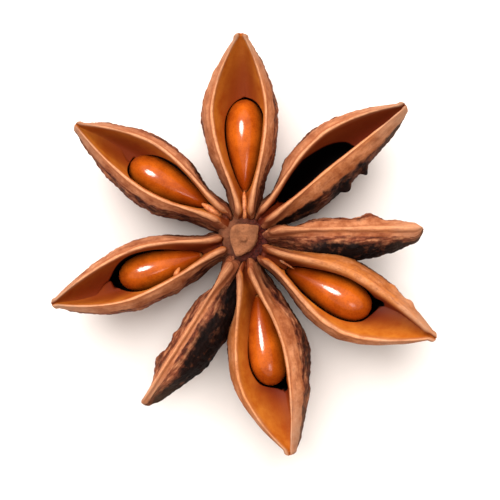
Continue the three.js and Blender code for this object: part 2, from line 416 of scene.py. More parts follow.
def begin(primitive: Callable, **sizes: float) -> tuple[bpy.types.Object, np.ndarray]:
    """Starts a piece from a primitive.

    Args:
        primitive: The operator that adds it.
        sizes: The operator's settings.

    Returns:
        The piece and its vertices.
    """
    pick(None)
    primitive(**sizes)
    return bpy.context.object, coordinates(bpy.context.object)


def coordinates(piece: bpy.types.Object) -> np.ndarray:
    """Reads the vertices of a piece.

    Args:
        piece: The piece.

    Returns:
        A row x, y, z for each vertex.
    """
    flat = np.empty(len(piece.data.vertices) * 3, dtype=np.float32)
    piece.data.vertices.foreach_get("co", flat)
    return flat.reshape(-1, 3).astype(np.float64)


def move_to(piece: bpy.types.Object, places: np.ndarray) -> None:
    """Puts the vertices of a piece at new places."""
    piece.data.vertices.foreach_set("co", places.astype(np.float32).ravel())
    piece.data.update()


def settle(piece: bpy.types.Object) -> np.ndarray:
    """Lifts what sank below the table back onto it.

    Args:
        piece: The piece.

    Returns:
        Its vertices.
    """
    places = coordinates(piece)
    places[:, 2] = np.maximum(places[:, 2], 0)
    move_to(piece, places)
    return places


def mark(piece: bpy.types.Object, name: str, values: np.ndarray) -> None:
    """Stores one number for each vertex under a name that a finish reads."""
    layer = piece.data.attributes.new(name, "FLOAT", "POINT")
    layer.data.foreach_set("value", values.astype(np.float32).ravel())


def marked(piece: bpy.types.Object, name: str) -> np.ndarray:
    """Reads what mark stored.

    Args:
        piece: The piece.
        name: The name of the numbers.

    Returns:
        One number for each vertex.
    """
    values = np.empty(len(piece.data.vertices), dtype=np.float32)
    piece.data.attributes[name].data.foreach_get("value", values)
    return values.astype(np.float64)


def weld(piece: bpy.types.Object, distance: float = 0.001, fill: bool = False) -> None:
    """Merges vertices that coincide and points every face outwards.

    Args:
        piece: The piece to mend.
        distance: Merging distance in millimetres.
        fill: Whether to fill the small holes that are left.
    """
    pick(piece)
    bpy.ops.object.mode_set(mode="EDIT")
    bpy.ops.mesh.select_all(action="SELECT")
    bpy.ops.mesh.remove_doubles(threshold=distance * MM)
    if fill:
        bpy.ops.mesh.select_all(action="DESELECT")
        bpy.ops.mesh.select_mode(type="VERT")
        bpy.ops.mesh.select_non_manifold()
        bpy.ops.mesh.edge_face_add()
        bpy.ops.mesh.select_all(action="SELECT")
    bpy.ops.mesh.normals_make_consistent(inside=False)
    bpy.ops.object.mode_set(mode="OBJECT")


class Relief(Enum):
    """Kinds of relief: rounded lumps, and narrow ridges that follow the grain map."""

    CLOUDS = "CLOUDS"
    RIDGES = "MUSGRAVE"


def press(piece: bpy.types.Object, relief: Relief, size: float, height: float,
          group: str) -> None:
    """Presses a relief into a piece with a displacement that is applied at once.

    Args:
        piece: The piece.
        relief: The kind of relief.
        size: Size of its lumps.
        height: Height from hollow to crest.
        group: The vertex group that it acts on.
    """
    pick(piece)
    texture = bpy.data.textures.new(f"{relief.name.lower()}_{size}", relief.value)
    texture.noise_scale = size * MM
    modifier = piece.modifiers.new("relief", "DISPLACE")
    modifier.texture = texture
    modifier.strength = height * MM
    modifier.vertex_group = group
    if relief is Relief.RIDGES:
        texture.musgrave_type = "RIDGED_MULTIFRACTAL"
        texture.octaves = 3.0
        texture.dimension_max = texture.offset = texture.gain = 1.0
        texture.noise_intensity = modifier.mid_level = 0.45
        modifier.texture_coords = "UV"
        modifier.uv_layer = GRAIN
    else:
        texture.noise_depth = 3
    bpy.ops.object.modifier_apply(modifier=modifier.name)


def group_by(piece: bpy.types.Object, name: str, weights: np.ndarray) -> None:
    """Makes a vertex group.

    Args:
        piece: The piece.
        name: The group's name.
        weights: A weight from 0 to 1 for each vertex.
    """
    group = piece.vertex_groups.new(name=name)
    steps = np.round(np.clip(weights, 0.0, 1.0) * WEIGHT_STEPS).astype(int)
    for step in range(1, WEIGHT_STEPS + 1):
        group.add(np.nonzero(steps == step)[0].tolist(), step / WEIGHT_STEPS, "REPLACE")


def dress(piece: bpy.types.Object, name: str, finish: Finish, node: str | None) -> None:
    """Names a finished piece, gives it its material and ties it to the frame.

    Args:
        piece: The piece.
        name: Its name.
        finish: Its finish.
        node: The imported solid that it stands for, or None for a detail that has no solid.
    """
    piece.name = name
    piece.data.name = name
    piece.data.materials.clear()
    piece.data.materials.append(bpy.data.materials.get(finish.name) or finish.material())
    pick(piece)
    bpy.ops.object.shade_smooth()
    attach(piece, BODY)
    if node:
        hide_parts(node)
    log.info("%s: %d vertices, %d faces", name, len(piece.data.vertices), len(piece.data.polygons))


# ----------------------------------------------------------------------------
# Sizes


@dataclass(frozen=True)
class SeedPlace:
    """Where a seed lies in its carpel: along the seam, aside to the left, its heading and length.

    dip lowers its outer end and lean tips its top to the left, in degrees, and slim narrows its
    pit.
    """

    at: float
    aside: float
    turn: float
    length: float
    dip: float = 0.0
    lean: float = 0.0
    slim: float = 1.0


@dataclass(frozen=True)
class CarpelSize:
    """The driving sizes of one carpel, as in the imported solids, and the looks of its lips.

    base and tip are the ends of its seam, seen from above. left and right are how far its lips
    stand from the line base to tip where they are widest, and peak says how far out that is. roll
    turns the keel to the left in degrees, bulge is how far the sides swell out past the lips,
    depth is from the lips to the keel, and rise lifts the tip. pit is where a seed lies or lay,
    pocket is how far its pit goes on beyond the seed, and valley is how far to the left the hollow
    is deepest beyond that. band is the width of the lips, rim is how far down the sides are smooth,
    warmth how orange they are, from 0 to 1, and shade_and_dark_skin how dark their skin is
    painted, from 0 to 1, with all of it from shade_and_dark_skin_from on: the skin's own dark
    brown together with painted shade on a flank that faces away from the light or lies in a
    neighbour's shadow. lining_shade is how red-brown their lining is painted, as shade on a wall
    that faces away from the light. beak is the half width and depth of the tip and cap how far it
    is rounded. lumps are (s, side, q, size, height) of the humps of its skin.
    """

    base: tuple[float, float]
    tip: tuple[float, float]
    left: float
    right: float
    peak: tuple[float, float]
    roll: float
    bulge: tuple[float, float]
    depth: float
    rise: float
    shut: bool = False
    pit: SeedPlace | None = None
    seeded: bool = True
    pocket: tuple[float, float] = (0.15, 0.15)
    valley: float = 0.0
    band: tuple[float, float] = (0.34, 0.34)
    rim: tuple[float, float] = (1.2, 1.2)
    warmth: tuple[float, float] = (0.3, 0.3)
    shade_and_dark_skin: tuple[float, float] = (0.4, 0.4)
    shade_and_dark_skin_from: float = 0.0
    lining_shade: tuple[float, float] = (0.1, 0.1)
    beak: tuple[float, float] = (0.34, 0.8)
    cap: float = 0.3
    lumps: tuple[tuple[float, int, float, float, float], ...] = ()

    @property
    def seam_length(self) -> float:
        """Length of the seam, seen from above."""
        return math.dist(self.base, self.tip)

    def seam_height(self, s: Number) -> Number:
        """Returns the height of the lips at s."""
        return SEAM_HEIGHT + self.rise * s**3 - SEAM_SAG * np.sin(np.pi * s)

    def lean(self, s: Number) -> Number:
        """Returns the roll at s in radians, which is less at the column."""
        return math.radians(self.roll) * ramp(s, -0.1, 0.2)

    def basis(self, s: float) -> tuple[Vector, Vector, Vector]:
        """Finds the carpel's own directions.

        Args:
            s: Where along its seam.

        Returns:
            The seam's point and the directions along and aside.
        """
        base, tip = Vector((*self.base, 0)), Vector((*self.tip, 0))
        along = (tip - base).normalized()
        seam = base.lerp(tip, s)
        seam.z = self.seam_height(s)
        return seam, along, Vector((-along.y, along.x, 0))


@dataclass(frozen=True)
class Parting:
    """The plane between two carpels: its direction and how far it leans, in degrees."""

    heading: float
    lean: float = 0.0

    @property
    def out(self) -> np.ndarray:
        """The level direction in the plane, away from the column."""
        heading = math.radians(self.heading)
        return np.array((math.cos(heading), math.sin(heading), 0))

    @property
    def normal(self) -> np.ndarray:
        """The plane's normal, to the left of that direction."""
        out, lean = self.out, math.radians(self.lean)
        return np.array((-out[1] * math.cos(lean), out[0] * math.cos(lean), math.sin(lean)))


CARPELS = (
    CarpelSize((0.05, 2.15), (-0.3, 17.85), 2.8, 2.2, (0.57, 0.58), -2, (0.95, 0.95), 7.9, 0.7,
               pit=SeedPlace(0.38, -0.07, -1, 8.2, dip=5), valley=-0.3, rim=(2.2, 1.1),
               warmth=(0.3, 0.35), shade_and_dark_skin=(0.2, 0.2), beak=(0.5, 0.8),
               lumps=((0.79, 1, 0.2, 0.6, 0.2), (0.62, 1, 0.25, 0.5, 0.15))),
    CarpelSize((1.6, 1.95), (13.95, 11.7), 2.55, 0.5, (0.54, 0.5), -13, (1.45, 1.3), 7.9, 0.8,
               pit=SeedPlace(0.38, 0.85, -4, 8.4, slim=0.78), seeded=False, valley=-0.8,
               rim=(1.4, 1.5), warmth=(0.2, 0.5), shade_and_dark_skin=(0.3, 0.8), lining_shade=(0.9, 0.9),
               lumps=((0.6, -1, 0.5, 0.4, 0.55), (0.465, -1, 0.5, 0.45, 0.5))),
    CarpelSize((2.1, 0.8), (15.5, 1.0), 0.16, 0.16, (0.3, 0.3), -20, (1.25, 1.4), 6.6, 0.2,
               shut=True, rim=(0.9, 0.35), shade_and_dark_skin=(0.2, 1.0), shade_and_dark_skin_from=0.3, beak=(0.42, 1.9),
               cap=0.9, lumps=((0.66, 1, 0.25, 0.9, 0.5), (0.3, -1, 0.25, 0.7, 0.2),
                               (0.55, -1, 0.2, 0.6, 0.25))),
    CarpelSize((1.9, -1.35), (16.65, -8.65), 2.2, 3.3, (0.45, 0.53), 3, (0.85, 0.75), 7.9, 0.4,
               pit=SeedPlace(0.38, -0.55, 0, 8.3, dip=-6.5, lean=12), pocket=(0.95, 0.5),
               valley=0.9, band=(0.85, 0.5), rim=(2.0, 2.8), warmth=(1.0, 0.5), lining_shade=(0.6, 0.0),
               lumps=((0.68, 1, 0.3, 0.4, 0.25), (0.8, 1, 0.3, 0.5, 0.3))),
    CarpelSize((0.0, -2.7), (3.95, -18.75), 1.95, 2.9, (0.46, 0.57), 12, (1.5, 1.1), 7.9, 0.5,
               pit=SeedPlace(0.385, -0.25, -5, 8.1, dip=3.6), pocket=(0.8, 0.6), valley=0.8,
               rim=(1.3, 1.7), warmth=(0.4, 0.8), shade_and_dark_skin=(0.45, 0.3),
               lumps=((0.2, 1, 0.2, 0.7, -0.3),)),
    CarpelSize((-1.1, -2.0), (-8.9, -14.25), 0.13, 0.13, (0.3, 0.3), 25, (1.35, 1.4), 6.9, -0.2,
               shut=True, rim=(0.3, 0.3), shade_and_dark_skin=(1.0, 0.3), beak=(0.18, 0.8),
               lumps=((0.73, -1, 0.3, 1.0, 0.6), (0.55, -1, 0.2, 0.5, 0.2),
                      (0.75, 1, 0.3, 0.6, 0.3))),
    CarpelSize((-1.75, -0.33), (-16.7, -5.65), 2.05, 2.22, (0.59, 0.49), 5, (0.85, 0.85), 7.8, 0.5,
               pit=SeedPlace(0.37, -0.1, -4, 7.7, dip=10), pocket=(0.75, 0.9), valley=0.3,
               rim=(1.3, 2.0), warmth=(0.3, 0.2), shade_and_dark_skin=(0.1, 0.2), lining_shade=(0.2, 0.75)),
    CarpelSize((-1.9, 2.0), (-14.6, 9.97), 1.9, 2.32, (0.48, 0.55), 5, (1.0, 0.95), 7.8, 0.6,
               pit=SeedPlace(0.357, -0.15, 3, 7.9, dip=8), pocket=(0.04, 0.04), valley=-0.3,
               rim=(0.9, 0.8), warmth=(0.2, 0.1), shade_and_dark_skin=(0.3, 0.55), lining_shade=(0.1, 0.4)),
)

# The first plane lies between carpels 1 and 2, and the last between carpels 8 and 1.
PARTINGS = (Parting(64), Parting(21), Parting(-8, -12), Parting(-57), Parting(-103, 14),
            Parting(-137), Parting(-190), Parting(-243))


# ----------------------------------------------------------------------------
# Carpels


@dataclass(frozen=True)
class SeedShape:
    """An egg with a narrow inner end, flattened from side to side."""

    length: float = 8.2
    thickness: float = 3.5
    height: float = 4.4
    taper: float = 0.45
    below: float = 3.0  # its middle, below the lips
    peak: float = 1.085  # the largest value of the curve that plump follows

    def plump(self, x: Number) -> Number:
        """Returns half the thickness at x from -1, the inner end, to 1, as a share of the most."""
        return np.sqrt(np.clip(1 - x * x, 0, None)) * (1 + self.taper * x) / self.peak


SEED = SeedShape()


@dataclass
class Cut:
    """What the curves of one half of a carpel share, in columns with a row for each s.

    gape and mouth are half the width over and between the lips, and middle is the middle of them,
    to the left of the seam. edge and drop are how far the outer and the inner edge of a lip lie
    below its height, and crown is how far its crest is drawn up.
    """

    s: np.ndarray
    side: int  # 1 for the left half and -1 for the right one
    gape: np.ndarray
    middle: np.ndarray
    depth: np.ndarray
    mouth: np.ndarray
    edge: np.ndarray
    drop: np.ndarray
    crown: np.ndarray

    @property
    def hand(self) -> int:
        """Where this half's sizes stand in a pair."""
        return 0 if self.side > 0 else 1


@dataclass
class Carpel:
    """One boat-shaped carpel, closed at both ends: wrinkled skin, rounded lips, smooth lining."""

    number: int  # from 1
    size: CarpelSize
    rows: int = 190  # cuts along the carpel
    wall_steps: int = 46  # points from lip to keel
    lip_steps: int = 9  # points over a lip
    lining_steps: int = 30  # points from lip to the bottom of the hollow
    cap_rows: int = 7  # cuts that round off each end
    wall: float = 0.42
    floor: float = 0.8
    keel_deepest: float = 0.42  # where along the seam
    keel_rise: float = 1.2  # from there to the column
    keel_half_width: float = 0.55
    ridge_half_width: float = 0.8  # of the two lips together, beside the column
    shut_ridge_half_width: float = 0.5
    slit_half_width: float = 0.16
    shut_mouth: float = 0.005  # half the gap between lips that meet
    brow_drop: float = 0.22  # of a lip's outer edge, beside the column
    slit_drop: float = 0.3  # of its inner edge there, and farther out
    lip_drop: float = 0.15
    lip_crown: float = 0.35  # of an open lip, as a share of its width
    beak_start: float = 0.965  # where along the seam the lips come to the beak
    face_at_column: float = 1.6  # the carpel's inner face, from the column's axis
    pit_depth: float = 5.6
    trough: float = 3.0  # how deep the hollow is without the seed's pit
    hollowness: float = 2.2  # 1 gives it flat slopes and 2 round ones
    snug: float = 0.05  # how near to the seed the lining comes
    rim_rise: float = 1.3  # of the pit's rim above the seed's middle
    wrinkle: float = 0.018
    girth: float = 30.0  # of the grain map, round the skin and the lining
    touch: float = -0.03  # how far a side stands off the plane to its neighbour
    base_cap: float = 0.45  # how far the rounded end at the column stands out
    zones: tuple[str, ...] = ("skin", "lip", "edge", "crest", "lining", "depth", "warmth", "shade_and_dark_skin",
                              "lining_shade")

    def lip_offset(self, s: np.ndarray, widest: float, peak: float) -> np.ndarray:
        """Finds how far a lip stands from the seam line.

        Args:
            s: Places along the seam.
            widest: Its largest distance.
            peak: Where along the seam that is.

        Returns:
            The distance at each place.
        """
        ridge = self.shut_ridge_half_width if self.size.shut else self.ridge_half_width
        rising = mix(ridge, widest, np.sin(np.pi / 2 * np.clip(s / peak, 0, 1)) ** 1.6)
        way = np.clip((s - peak) / (self.beak_start - peak), 0, 1)
        return np.where(s < peak, rising, mix(widest, self.size.beak[0], way**1.65))

    def keel_depth(self, s: np.ndarray) -> np.ndarray:
        """Finds how deep the keel lies below the lips.

        Args:
            s: Places along the seam.

        Returns:
            The depth at each place.
        """
        depth, deepest = self.size.depth, self.keel_deepest
        near = mix(depth - self.keel_rise, depth, np.sin(np.pi / 2 * np.clip(s / deepest, 0, 1)))
        out = np.clip((s - deepest) / (1 - deepest), 0, 1)
        return np.where(s < deepest, near, mix(self.size.beak[1], depth, (1 - out**2) ** 0.9))

    def trough_depth(self, s: np.ndarray) -> np.ndarray:
        """Finds how deep the hollow is without the seed's pit: a slit that opens to a trough.

        Args:
            s: Places along the seam.

        Returns:
            The depth at each place.
        """
        if self.size.shut:
            return 0.3 + 0.4 * np.sin(np.pi * s)
        out = np.clip((s - 0.55) / 0.45, 0, 1)
        return mix(0.5, self.trough, ramp(s, 0, 0.2)) * (1 - out**2.0) + 0.1

    def measure(self, s: np.ndarray, side: int) -> Cut:
        """Works out what the curves of one half share.

        Args:
            s: A column of places along the seam.
            side: 1 for the left half and -1 for the right one.

        Returns:
            The measures of the cut.
        """
        size = self.size
        left = self.lip_offset(s, size.left, size.peak[0])
        right = self.lip_offset(s, size.right, size.peak[1])
        gape = (left + right) / 2
        # The lips of a shut carpel are one narrow crest.
        cut = Cut(s, side, gape, (left - right) / 2, self.keel_depth(s),
                  mouth=np.full_like(s, self.shut_mouth), edge=np.full_like(s, self.brow_drop),
                  drop=-0.5 * gape - 0.05, crown=0.5 * gape + 0.05)
        if not size.shut:
            band = size.band[cut.hand]
            slope = mix(band, 0.55 * band, ramp(s, 0.5, 1))
            brow = mix(self.ridge_half_width - self.slit_half_width, slope, ramp(s, 0.02, 0.3))
            open_width = np.maximum(self.slit_half_width, gape - brow)
            cut.mouth = open_width * (1 - ramp(s, 0.955, 1.0)) + 2 * self.shut_mouth
            cut.edge = mix(self.brow_drop, 0.0, ramp(s, 0.1, 0.35))
            cut.drop = mix(self.slit_drop, self.lip_drop, ramp(s, 0, 0.4))
            # A broad lip slopes inwards.
            cut.drop = cut.drop + 0.3 * max(0.0, band - 0.42)
            cut.crown = self.lip_crown * (gape - cut.mouth)
        return cut

    def folds(self, cut: Cut, q: np.ndarray) -> np.ndarray:
        """Makes the large folds and the humps of the dry skin.

        Args:
            cut: The measures of the cut.
            q: A row of places round the wall.

        Returns:
            How far the skin stands out.
        """
        s, turn = cut.s, self.number - 1 + (0 if cut.side > 0 else 4)
        fade = np.sin(np.pi * np.minimum(1, q * 1.15 + 0.05))
        fade = fade * np.clip(np.minimum(8 * s, 5 * (1 - s)), 0, 1)
        # Waves along the carpel and round it, out of step from one half to the next.
        along = np.sin(34 * s + 5 * q + 1.9 * turn) + 0.7 * np.sin(55 * s - 9 * q + turn)
        across = 0.8 * np.sin(17 * q + 11 * s + 2.3 * turn)
        folds = self.wrinkle * fade * (along + across)
        for at, side, where, spread, height in self.size.lumps:
            if side == cut.side:
                far = ((s - at) * self.size.seam_length) ** 2 + ((q - where) * 9.0) ** 2
                folds = folds + height * np.exp(-far / spread**2)
        return folds

    def wall_curve(self, cut: Cut, q: np.ndarray) -> tuple[np.ndarray, np.ndarray]:
        """Swells the wall out from the lip and draws it in to the keel.

        Args:
            cut: The measures of the cut.
            q: A row of places, 0 at the lip and 1 at the keel.

        Returns:
            u and v, as if for a left half.
        """
        size, s = self.size, cut.s
        keel = np.minimum(self.keel_half_width, 0.5 * cut.gape + 0.15)
        swell = np.sin(np.pi * mix(0.25, 0.985, s)) ** 0.8
        if size.shut:
            swell = swell * mix(1.0, 2.2 * size.beak[0], ramp(s, 0.65, 0.95))
        bulge = size.bulge[cut.hand] * swell
        shoulder, hip = ((1.7, 0.06), (1.45, 0.62)) if size.shut else ((1.3, 0.1), (1.2, 0.72))
        flare = ramp(s, 0.06, 0.36)
        u, v = bezier(((cut.gape, cut.edge),
                       (cut.gape + shoulder[0] * bulge * mix(0.12, 1.0, flare),
                        mix(0.3, shoulder[1], flare) * cut.depth + cut.edge),
                       (hip[0] * (cut.gape + bulge), hip[1] * cut.depth), (keel, cut.depth)), q)
        stand = self.folds(cut, q)
        return u + stand, v + stand * np.clip(q - 0.5, 0, None)

    def pit(self, cut: Cut) -> tuple[np.ndarray, np.ndarray, np.ndarray]:
        """Finds the seed's pit and the bottom of the trough round it.

        Args:
            cut: The measures of the cut.

        Returns:
            Half the pit's width, which is hardly anything where there is none, and how far the
            middle of the pit and the bottom of the trough lie to the left of the middle.
        """
        size, place, s, mouth = self.size, self.size.pit, cut.s, cut.mouth
        closed = np.minimum(0.03, 0.5 * mouth)
        if place is None:
            return closed, 0 * s, 0 * s
        along = (s - place.at) * size.seam_length
        pocket = size.pocket[cut.hand]
        outer = place.length / 2 + pocket
        x = np.clip(np.where(along > 0, along / outer, 2 * along / place.length), -1, 1)
        half = (place.length / SEED.length * SEED.thickness / 2 + self.snug) * place.slim
        # A long pocket ends in a point.
        point = (1 - np.clip(x, 0, 1) ** 4) ** (0.5 * pocket)
        pit_half = np.maximum(closed, half * SEED.plump(x) * point)
        seed_line = place.aside + along * math.tan(math.radians(place.turn)) - cut.middle
        fold = size.valley * ramp(s, 0.3, 0.65) * (1 - ramp(s, 0.8, 1.0))
        fold = np.clip(fold, -0.75 * mouth, 0.75 * mouth)
        # A fold that lies well aside draws the end of the pit to itself.
        end = 0.5 * place.length + max(size.pocket)
        start, end = (0.5 * place.length - 0.4, end) if abs(size.valley) > 0.4 else (end, end + 1.5)
        room = 0.85 * mouth + 2 * pit_half
        return pit_half, np.clip(mix(seed_line, fold, ramp(along, start, end)), -room, room), fold

    def lining_curve(self, cut: Cut) -> tuple[np.ndarray, np.ndarray, np.ndarray, np.ndarray]:
        """Makes the lining, a trough with the seed's pit cut into it.

        Args:
            cut: The measures of the cut.

        Returns:
            u and v from the lip to the bottom, as if for a left half, the share of depth, and how
            far the middle of the pit lies to the left of the middle.
        """
        mouth, side = cut.mouth, cut.side
        slope_steps = self.lining_steps // 2
        pit_half, bottom, valley = self.pit(cut)
        trough = np.clip(self.trough_depth(cut.s), 0.1 + cut.drop, cut.depth - self.floor)
        sunken = ramp(pit_half, 0.05, 0.5)
        floor = mix(trough, np.minimum(self.pit_depth, cut.depth - self.floor), sunken)
        # In a carpel that leans, the rim of the pit stands straight above its sides.
        upright = side * self.rim_rise * math.tan(math.radians(self.size.roll)) * sunken
        across = mouth - valley * side
        to_rim = np.clip((mouth - bottom * side - upright - pit_half) / across, 0.03, 0.985)
        share = to_rim * np.linspace(0, 1, slope_steps, endpoint=False)[None, :]
        share = np.concatenate((share, to_rim), axis=1)
        slope_u = mouth - across * share
        slope_v = cut.drop + (trough - cut.drop) * (1 - (1 - share) ** self.hollowness)
        rim_u, rim_v = slope_u[:, -1:], slope_v[:, -1:]
        under = np.linspace(0, 1, self.lining_steps - slope_steps)[None, :]
        pit_u, pit_v = bezier(((rim_u, rim_v), (bottom * side + 0.5 * upright + 1.06 * pit_half,
                                                mix(rim_v, floor, 0.35)),
                               (bottom * side + pit_half, floor), (bottom * side, floor)), under)
        # sunk is how dark the lining is painted as shade: darker the deeper it lies, darkest in the
        # pit, and dark in the narrow notch beside the column.
        sunk = 0.45 * ramp(slope_v[:, :-1], 0.2, 3.0)
        in_pit = mix(sunk[:, -1:], 1.0, ramp(pit_v - rim_v, 0.15, 0.9))
        sunk = np.concatenate((sunk, in_pit), axis=1)
        return (np.concatenate((slope_u[:, :-1], pit_u), axis=1),
                np.concatenate((slope_v[:, :-1], pit_v), axis=1),
                np.maximum(sunk, 0.6 * (1 - ramp(cut.s, 0.03, 0.14))), bottom)

    def half_section(self, s: np.ndarray, side: int) -> dict[str, np.ndarray]:
        """Cuts one half of the carpel across.

        Args:
            s: A column of places along the seam.
            side: 1 for the left half and -1 for the right one.

        Returns:
            Arrays with a row for each s and a column for each point from the keel over the lip to
            the bottom of the hollow: u, v, the zones, and inner, the share of the inner side. And
            middle, the middle of the lips.
        """
        size, cut = self.size, self.measure(s, side)
        hand = cut.hand
        wall_u, wall_v = self.wall_curve(
            cut, np.linspace(1, 0, self.wall_steps, endpoint=False)[None, :])
        over = np.linspace(0, 1, self.lip_steps, endpoint=False)[None, :]
        if size.shut:
            over = 1 - (1 - over) ** 2.2  # crowds the points where the lips meet
        lip_u, lip_v = bezier(((cut.gape, cut.edge), (cut.gape, -cut.crown),
                               (mix(cut.gape, cut.mouth, 0.75), -cut.crown),
                               (cut.mouth, cut.drop)), over)
        lining_u, lining_v, sunk, bottom = self.lining_curve(cut)

        from_lip = np.hypot(wall_u - cut.gape, wall_v - cut.edge)
        ends = ramp(s, 0.0, 0.06) * (1 - ramp(s, 0.93, 0.99))
        rim = size.rim[hand]
        # pale makes a lip lighter along its crest: its own pale cut edge, with a painted highlight
        # along its top.
        if size.shut:
            opened, unshaded_band, pale = 0.0, (0.45, 1.3), 0.75 * ramp(over, 0.1, 0.9)
            smooth_rim = mix(0.7, 0.12, ramp(s, 0.0, 0.25))
        else:
            opened, unshaded_band = 1.0, (0.35 + 0.35 * rim, 1.2 + 0.4 * rim)
            pale = ramp(np.sin(np.pi * over), 0.3, 1.1)
            smooth_rim = mix(1.3, 0.25, ramp(s, 0.0, 0.25))
        on_wall = 1 - ramp(from_lip / smooth_rim, 0.1, 1.2)
        # The lip turns to lining on its inner side.
        inner_lip = 1 - 0.75 * opened * ramp(over, 0.55, 1.0)
        from_mouth = np.hypot(lining_u - cut.mouth, lining_v - cut.drop)
        on_lining = inner_lip[:, -1:] * (1 - ramp(from_mouth, 0.0, 0.2))
        edge = (on_wall, inner_lip, on_lining)
        if size.shut:
            # Where the lips meet they stay smooth, so that they don't cross.
            away = ramp(s, 0.03, 0.1)
            edge = (away * on_wall, away * (1 - ramp(over, 0.3, 0.9)), 0)
        # Painted shade, over the skin's own dark brown, darkens a flank that faces away from the
        # light or lies in a neighbour's shadow, from a band's width off the lip and from a place
        # along the carpel on.
        shade_and_dark_skin = size.shade_and_dark_skin[hand] * ramp(s, size.shade_and_dark_skin_from - 0.25, size.shade_and_dark_skin_from + 0.05)
        parts = {  # on the wall, over the lip and down the lining
            "u": (wall_u * side, lip_u * side, lining_u * side),
            "v": (wall_v, lip_v, lining_v),
            "skin": (ramp(from_lip, 0.6 * rim, 1.3 * rim), 0, 0),
            "lip": (on_wall, inner_lip, on_lining),
            "edge": edge,
            "crest": (0, ends * pale, 0),
            "shade_and_dark_skin": (shade_and_dark_skin * ramp(from_lip, *unshaded_band), 0, 0),
            "lining": (0, opened * ramp(over, 0.5, 1.0), opened),
            "inner": (0, over, 1),
            # Painted shade: the lining darkens as it goes deep.
            "depth": (0, 0, sunk),
            "warmth": (size.warmth[hand],) * 3,
            # Painted shade: the lining of a wall that faces away from the light is red-brown.
            "lining_shade": (size.lining_shade[hand],) * 3,
        }
        steps = (self.wall_steps, self.lip_steps, self.lining_steps)
        joined = {name: np.concatenate([np.broadcast_to(part, (len(s), count))
                                        for part, count in zip(three, steps)], axis=1)
                  for name, three in parts.items()}
        if size.pit and max(size.pocket) > 0.3:
            # The lining is painted darker where a pocket opens, as shade round it.
            end = size.pit.at + (0.5 * size.pit.length + 0.3) / size.seam_length
            near = np.exp(-(((s - end) * size.seam_length / 1.1) ** 2))
            near = near * (1 - ramp(np.abs(joined["u"] - bottom), 0.4, 2.0))
            joined["lining_shade"] = np.maximum(joined["lining_shade"], 0.85 * near)
        return joined | {"middle": cut.middle}

    def gather(self, half: dict[str, np.ndarray], shrink: np.ndarray) -> None:
        """Draws the wall and the lining together at the ends, on the line half way between them.

        Args:
            half: The cuts of one half.
            shrink: How far each cut is drawn together, from 0 to 1.
        """
        n, m = self.wall_steps, self.lining_steps
        for name in ("u", "v"):
            outer, inner = half[name][:, :n], half[name][:, n + self.lip_steps :]
            where, back = np.linspace(0, m - 1, n)[::-1], np.linspace(n - 1, 0, m)
            match = np.stack([np.interp(where, np.arange(m), row) for row in inner])
            # A shut carpel's ends close on its middle.
            centre = match if self.size.shut and name == "u" else (outer + match) / 2
            centre_in = np.stack([np.interp(back, np.arange(n), row) for row in centre])
            lip = np.repeat(centre[:, -1:], self.lip_steps, axis=1)
            whole = np.concatenate((centre, lip, centre_in), axis=1)
            half[name] = mix(half[name], whole, shrink)

    def place(self, s: np.ndarray, middle: np.ndarray, u: np.ndarray, v: np.ndarray) -> np.ndarray:
        """Turns u and v of a cut into places.

        Args:
            s: A column of places along the seam, which may go past its ends.
            middle: The middle of the lips, to the left of the seam, for each s.
            u: To the left of the middle.
            v: Down from the lips.

        Returns:
            Places in millimetres, with an extra last axis for x, y and z.
        """
        size = self.size
        base, tip = np.array(size.base), np.array(size.tip)
        along = (tip - base) / size.seam_length
        aside = np.array((-along[1], along[0]))
        inside = np.clip(s, 0, 1)
        lean = size.lean(inside)
        off = middle + u * np.cos(lean) + v * np.sin(lean)
        reach = math.hypot(*size.base) - self.face_at_column
        way = s * size.seam_length - reach * ramp(v, 0.1, 1) * (1 - ramp(s, 0, 0.12))
        x = base[0] + along[0] * way + aside[0] * off
        y = base[1] + along[1] * way + aside[1] * off
        z = size.seam_height(inside) + u * np.sin(lean) - v * np.cos(lean)
        return np.stack((x, y, z), axis=-1)

    def keep_between(self, places: np.ndarray, margin: np.ndarray) -> np.ndarray:
        """Keeps places on the carpel's own side of the planes to its two neighbours.

        Args:
            places: Places in millimetres.
            margin: Least distance to each plane.

        Returns:
            The corrected places.
        """
        for parting, side in ((PARTINGS[self.number - 1], 1), (PARTINGS[self.number - 2], -1)):
            normal = side * parting.normal
            beyond = (places - (0, 0, SEAM_HEIGHT)) @ normal
            push = np.where((places @ parting.out > 0) & (beyond < margin), margin - beyond, 0)
            places = places + push[..., None] * normal
        return places

    def rings(self) -> dict[str, np.ndarray]:
        """Cuts the whole carpel, with rounded ends.

        Returns:
            places, in millimetres, and the zones, each with a row for a cut and a column for a
            point of it, from the keel round the right half and back by the left one.
        """
        length = self.size.seam_length
        first, last = self.base_cap / length, 1 - self.size.cap / length
        body = np.linspace(first, last, self.rows)[:, None]
        turn = np.linspace(0, np.pi / 2, self.cap_rows + 1)[1:, None]
        s = np.concatenate((first - np.sin(turn[::-1]) * self.base_cap / length, body,
                            last + np.sin(turn) * self.size.cap / length))
        shrink = np.concatenate((1 - np.cos(turn[::-1]), 0 * body, 1 - np.cos(turn)))
        right, left = (self.half_section(np.clip(s, first, last), side) for side in (-1, 1))
        for half in (right, left):
            self.gather(half, shrink)
        joined = {name: np.concatenate((right[name], left[name][:, ::-1]), axis=1)
                  for name in ("u", "v", "inner", *self.zones)}
        nose = mix(1.0, 0.35, np.clip((s - last) / (1 - last), 0, 1) ** 2.5)
        places = self.place(s, right["middle"], joined["u"] * nose, joined["v"])
        inner = mix(joined["inner"], 0.5, shrink)
        places = self.keep_between(places, self.touch + inner * self.wall)
        places[..., 2] = np.maximum(places[..., 2], 0)
        return joined | {"places": places}

